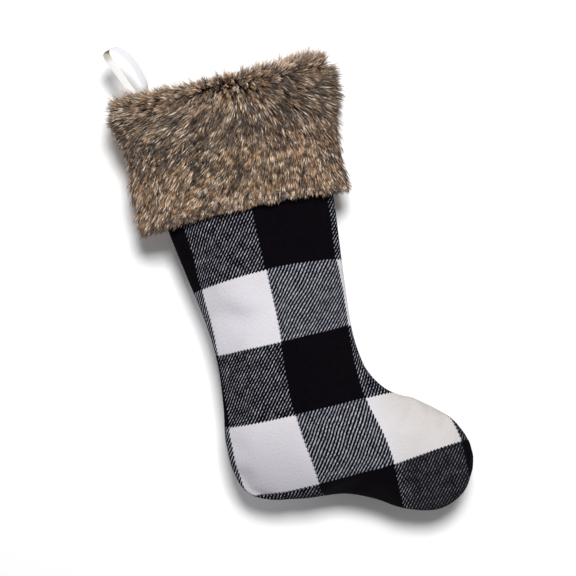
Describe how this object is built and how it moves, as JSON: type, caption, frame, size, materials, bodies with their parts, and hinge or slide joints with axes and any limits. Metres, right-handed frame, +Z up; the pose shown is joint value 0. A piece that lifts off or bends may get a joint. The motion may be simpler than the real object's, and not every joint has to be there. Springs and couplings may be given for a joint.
{
  "type": "hanging stocking",
  "caption": "Sock-shaped fabric bag in a large check, with a deep fur cuff turned down over its open mouth and a narrow ribbon loop at the heel-side corner to hang it by.",
  "frame": {"origin": "inside of the ribbon loop's top, where a hook bears", "axes": "+Z up, toe towards +X, front face towards -Y"},
  "size_m": [0.2899, 0.079, 0.5504],
  "materials": {
    "plaid": "brushed wool-look twill in large black and white checks",
    "lining": "plain black woven lining",
    "fur_pile": "long faux-fur pile, brown with dark roots and pale tips",
    "fur_backing": "knitted backing",
    "ribbon": "white satin",
    "dark_thread": "polyester thread",
    "brown_thread": "polyester thread",
    "white_thread": "polyester thread"
  },
  "bodies": {
    "stocking": {"front_panel": "plaid", "back_panel": "plaid", "panel_seam": "dark_thread", "front_lining": "lining", "back_lining": "lining", "lining_seam": "dark_thread", "front_cuff_backing": "fur_backing", "back_cuff_backing": "fur_backing", "front_cuff_pile": "fur_pile", "back_cuff_pile": "fur_pile", "cuff_seam_heel_side": "brown_thread", "cuff_seam_toe_side": "brown_thread", "mouth_seam": "brown_thread", "ribbon_tails": "ribbon", "loop_tack": "white_thread"},
    "loop": {"ribbon_loop": "ribbon"}
  },
  "joints": [
    {"name": "loop_swing", "type": "hinge", "parent": "stocking", "child": "loop", "pos_m": [0.02709, 0, -0.05809], "axis": [0, 1, 0], "range_deg": [-35, 80]}
  ]
}
